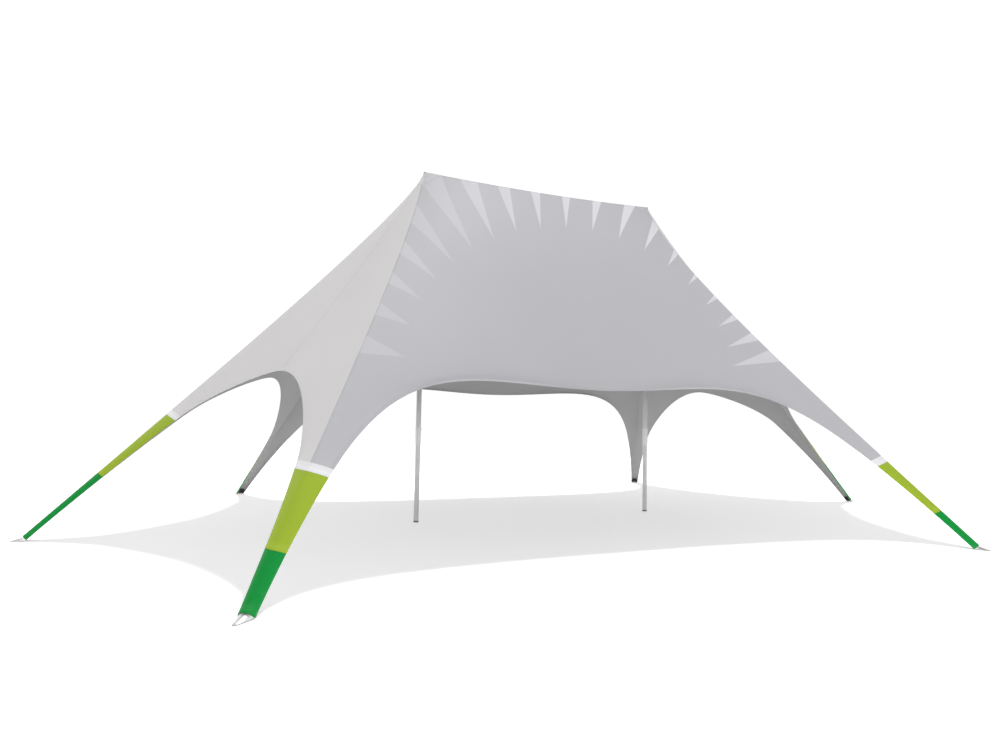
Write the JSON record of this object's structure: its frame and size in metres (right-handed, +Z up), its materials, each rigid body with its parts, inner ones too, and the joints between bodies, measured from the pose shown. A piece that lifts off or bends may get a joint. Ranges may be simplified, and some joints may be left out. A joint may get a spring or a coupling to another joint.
{
  "type": "star marquee",
  "caption": "Twin-peak star marquee: a stretched canopy on two poles, with tapering legs that come down into metal foot shells between arched openings.",
  "frame": {"origin": "on the ground, midway between the two poles", "axes": "+X along the ridge towards the right end leg, +Y towards the rear long face, +Z up"},
  "size_m": [13.2612, 7.6772, 5],
  "materials": {
    "grey_canvas": "coated polyester fabric, pale grey outside and plain grey inside, satin",
    "lime_canvas": "coated polyester fabric, lime green, satin",
    "green_canvas": "coated polyester fabric, deep green, satin",
    "polished_steel": "polished stainless steel outside, dark inside",
    "brushed_aluminium": "natural aluminium tube, lightly brushed",
    "black_plastic": "matt black plastic"
  },
  "bodies": {
    "root": {"front_left_main_panel": "grey_canvas", "front_left_corner_gore": "grey_canvas", "front_left_end_gore": "grey_canvas", "front_right_main_panel": "grey_canvas", "front_right_corner_gore": "grey_canvas", "front_right_end_gore": "grey_canvas", "rear_left_main_panel": "grey_canvas", "rear_left_corner_gore": "grey_canvas", "rear_left_end_gore": "grey_canvas", "rear_right_main_panel": "grey_canvas", "rear_right_corner_gore": "grey_canvas", "rear_right_end_gore": "grey_canvas", "left_peak_cap": "grey_canvas", "right_peak_cap": "grey_canvas", "left_end_lime_sleeve": "lime_canvas", "left_end_green_sleeve": "green_canvas", "left_end_foot_shell": "polished_steel", "right_end_lime_sleeve": "lime_canvas", "right_end_green_sleeve": "green_canvas", "right_end_foot_shell": "polished_steel", "front_left_lime_sleeve": "lime_canvas", "front_left_green_sleeve": "green_canvas", "front_left_foot_shell": "polished_steel", "front_right_lime_sleeve": "lime_canvas", "front_right_green_sleeve": "green_canvas", "front_right_foot_shell": "polished_steel", "rear_left_lime_sleeve": "lime_canvas", "rear_left_green_sleeve": "green_canvas", "rear_left_foot_shell": "polished_steel", "rear_right_lime_sleeve": "lime_canvas", "rear_right_green_sleeve": "green_canvas", "rear_right_foot_shell": "polished_steel", "left_pole_end_plug": "black_plastic", "left_lower_tube": "brushed_aluminium", "left_coupling": "brushed_aluminium", "left_lock_button": "brushed_aluminium", "left_upper_tube": "brushed_aluminium", "left_pole_head": "black_plastic", "right_pole_end_plug": "black_plastic", "right_lower_tube": "brushed_aluminium", "right_coupling": "brushed_aluminium", "right_lock_button": "brushed_aluminium", "right_upper_tube": "brushed_aluminium", "right_pole_head": "black_plastic"}
  },
  "joints": []
}
